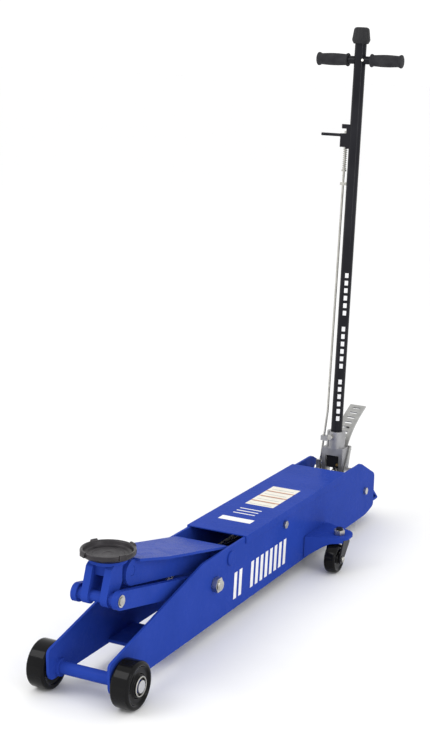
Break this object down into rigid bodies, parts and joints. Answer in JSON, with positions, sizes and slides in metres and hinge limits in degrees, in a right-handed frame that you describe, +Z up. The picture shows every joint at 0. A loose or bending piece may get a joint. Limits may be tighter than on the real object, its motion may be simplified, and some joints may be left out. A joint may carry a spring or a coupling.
{
  "type": "hydraulic service jack",
  "caption": "Long-chassis hydraulic floor jack: parallel-link lift arm with a round saddle, front wheels, swivel casters, foot pedal and T-handle.",
  "frame": {"origin": "middle of the jack's box at rest, on the floor", "axes": "+Z up, +Y towards the handle, +X towards the jack's left side (seen by a person at the handle)"},
  "size_m": [0.36, 1.5447, 1.3985],
  "materials": {
    "blue_paint": "gloss powder coat",
    "black_paint": "gloss black enamel",
    "knob_plastic": "ribbed matte plastic",
    "grip_rubber": "matte foam rubber",
    "wheel_black": "gloss black cast wheel",
    "zinc_steel": "zinc plated",
    "cast_metal": "bare grey casting, lightly machined",
    "pedal_alloy": "pressed tread",
    "saddle_iron": "dark bronze-grey casting",
    "hard_chrome": "ground and hard chromed"
  },
  "bodies": {
    "chassis": {"side_plate_left": "blue_paint", "side_plate_right": "blue_paint", "top_cover": "blue_paint", "tie_plate": "blue_paint", "rear_plate": "blue_paint", "front_axle": "blue_paint", "main_pivot_shaft": "blue_paint", "caster_bracket_left": "blue_paint", "caster_bracket_right": "blue_paint", "cover_bolt_left": "zinc_steel", "cover_bolt_right": "zinc_steel", "rear_bolt_left": "zinc_steel", "rear_bolt_right": "zinc_steel", "link_bolt_left": "zinc_steel", "link_bolt_right": "zinc_steel", "gland_nut": "zinc_steel", "pump_barrel": "zinc_steel", "pump_spring": "zinc_steel", "return_spring_left": "zinc_steel", "return_spring_right": "zinc_steel", "socket_pin_left": "zinc_steel", "socket_pin_right": "zinc_steel", "hydraulic_tank": "cast_metal", "valve_block": "cast_metal"},
    "lift_arm": {"lift_arm": "blue_paint", "arm_pin": "blue_paint"},
    "crank_roller": {"crank_roller": "hard_chrome"},
    "saddle_yoke": {"saddle_yoke": "blue_paint", "yoke_pin": "zinc_steel"},
    "saddle": {"saddle": "saddle_iron"},
    "link_left": {"link_left": "blue_paint"},
    "link_right": {"link_right": "blue_paint"},
    "ram": {"ram": "hard_chrome", "ram_crosshead": "cast_metal"},
    "front_wheel_left": {"front_wheel_left": "wheel_black"},
    "front_wheel_right": {"front_wheel_right": "wheel_black"},
    "caster_left": {"caster_fork_left": "black_paint", "stem_nut_left": "zinc_steel", "caster_axle_left": "zinc_steel"},
    "caster_right": {"caster_fork_right": "black_paint", "stem_nut_right": "zinc_steel", "caster_axle_right": "zinc_steel"},
    "caster_wheel_left": {"caster_wheel_left": "wheel_black"},
    "caster_wheel_right": {"caster_wheel_right": "wheel_black"},
    "handle": {"handle_socket": "cast_metal", "handle_tube": "black_paint", "t_bar": "black_paint", "grip_left": "grip_rubber", "grip_right": "grip_rubber", "latch_bracket": "black_paint", "latch_guide": "zinc_steel", "latch_spring": "zinc_steel"},
    "pump_roller": {"pump_roller": "zinc_steel"},
    "latch_lever": {"latch_lever": "black_paint"},
    "latch_rod": {"latch_rod": "zinc_steel"},
    "release": {"release_knob": "knob_plastic", "release_rod": "zinc_steel"},
    "valve_stem": {"valve_stem": "zinc_steel"},
    "pump_plunger": {"pump_plunger": "hard_chrome"},
    "foot_pedal": {"foot_pedal": "pedal_alloy"}
  },
  "joints": [
    {"name": "lift", "type": "hinge", "parent": "chassis", "child": "lift_arm", "pos_m": [0, -0.2105, 0.169], "axis": [-1, 0, 0], "range_deg": [-20.7, 47.8]},
    {"name": "crank_roller_spin", "type": "hinge", "parent": "lift_arm", "child": "crank_roller", "pos_m": [0, -0.19066, 0.08635], "axis": [1, 0, 0], "continuous": true},
    {"name": "yoke_level", "type": "hinge", "parent": "lift_arm", "child": "saddle_yoke", "pos_m": [0, -0.6035, 0.254], "axis": [-1, 0, 0], "range_deg": [-47.9, 20.8]},
    {"name": "saddle_turn", "type": "hinge", "parent": "saddle_yoke", "child": "saddle", "pos_m": [0, -0.6435, 0.3], "axis": [0, 0, 1], "continuous": true},
    {"name": "link_swing_left", "type": "hinge", "parent": "chassis", "child": "link_left", "pos_m": [0, -0.2905, 0.13], "axis": [-1, 0, 0], "range_deg": [-20.8, 47.9]},
    {"name": "link_swing_right", "type": "hinge", "parent": "chassis", "child": "link_right", "pos_m": [0, -0.2905, 0.13], "axis": [-1, 0, 0], "range_deg": [-20.8, 47.9]},
    {"name": "ram_slide", "type": "slide", "parent": "chassis", "child": "ram", "axis": [0, -1, 0], "range_m": [-0.0296, 0.0682], "deforming": ["return_spring_left", "return_spring_right"]},
    {"name": "front_wheel_roll_left", "type": "hinge", "parent": "chassis", "child": "front_wheel_left", "pos_m": [0.103, -0.7195, 0.053], "axis": [1, 0, 0], "continuous": true},
    {"name": "front_wheel_roll_right", "type": "hinge", "parent": "chassis", "child": "front_wheel_right", "pos_m": [-0.103, -0.7195, 0.053], "axis": [1, 0, 0], "continuous": true},
    {"name": "caster_swivel_left", "type": "hinge", "parent": "chassis", "child": "caster_left", "pos_m": [0.15, 0.2905, 0.09], "axis": [0, 0, 1], "continuous": true},
    {"name": "caster_roll_left", "type": "hinge", "parent": "caster_left", "child": "caster_wheel_left", "pos_m": [0.15, 0.2625, 0.038], "axis": [1, 0, 0], "continuous": true},
    {"name": "caster_swivel_right", "type": "hinge", "parent": "chassis", "child": "caster_right", "pos_m": [-0.15, 0.2905, 0.09], "axis": [0, 0, 1], "continuous": true},
    {"name": "caster_roll_right", "type": "hinge", "parent": "caster_right", "child": "caster_wheel_right", "pos_m": [-0.15, 0.2625, 0.038], "axis": [1, 0, 0], "continuous": true},
    {"name": "handle_pump", "type": "hinge", "parent": "chassis", "child": "handle", "pos_m": [0, 0.602, 0.165], "axis": [-1, 0, 0], "range_deg": [0, 55]},
    {"name": "pump_roller_spin", "type": "hinge", "parent": "handle", "child": "pump_roller", "pos_m": [0, 0.62102, 0.18613], "axis": [1, 0, 0], "continuous": true},
    {"name": "latch_press", "type": "hinge", "parent": "handle", "child": "latch_lever", "pos_m": [-0.0348, 0.64647, 1.10795], "axis": [0, -0.9989, 0.0471], "range_deg": [0, 12]},
    {"name": "latch_lift", "type": "slide", "parent": "handle", "child": "latch_rod", "axis": [0.0188, 0.0471, 0.9987], "range_m": [0, 0.00184], "stiffness_N_per_m": 500, "springref_m": -0.006, "deforming": ["latch_spring"]},
    {"name": "release_turn", "type": "hinge", "parent": "handle", "child": "release", "pos_m": [0, 0.602, 0.165], "axis": [0, 0.0471, 0.9989], "range_deg": [0, 180]},
    {"name": "valve_turn", "type": "hinge", "parent": "chassis", "child": "valve_stem", "pos_m": [0, 0.602, 0.165], "axis": [0, 0, 1], "range_deg": [0, 180.1]},
    {"name": "pump_stroke", "type": "slide", "parent": "chassis", "child": "pump_plunger", "axis": [0, 0, -1], "range_m": [0, 0.0247], "deforming": ["pump_spring"]},
    {"name": "pedal_press", "type": "hinge", "parent": "handle", "child": "foot_pedal", "pos_m": [0, 0.602, 0.165], "axis": [-1, 0, 0], "range_deg": [0, 18], "stiffness_Nm_per_rad": 6, "springref_deg": -22.92}
  ],
  "couplings": [
    {"joint": "yoke_level", "follows": "lift", "ratio": -1},
    {"joint": "link_swing_left", "follows": "lift", "ratio": 1},
    {"joint": "link_swing_right", "follows": "lift", "ratio": 1},
    {"joint": "ram_slide", "follows": "lift", "m_per_rad": 0.0815},
    {"joint": "pump_stroke", "follows": "handle_pump", "m_per_rad": 0.0256},
    {"joint": "latch_press", "follows": "latch_lift", "rad_per_m": 113.64},
    {"joint": "valve_turn", "follows": "release_turn", "ratio": 1}
  ]
}
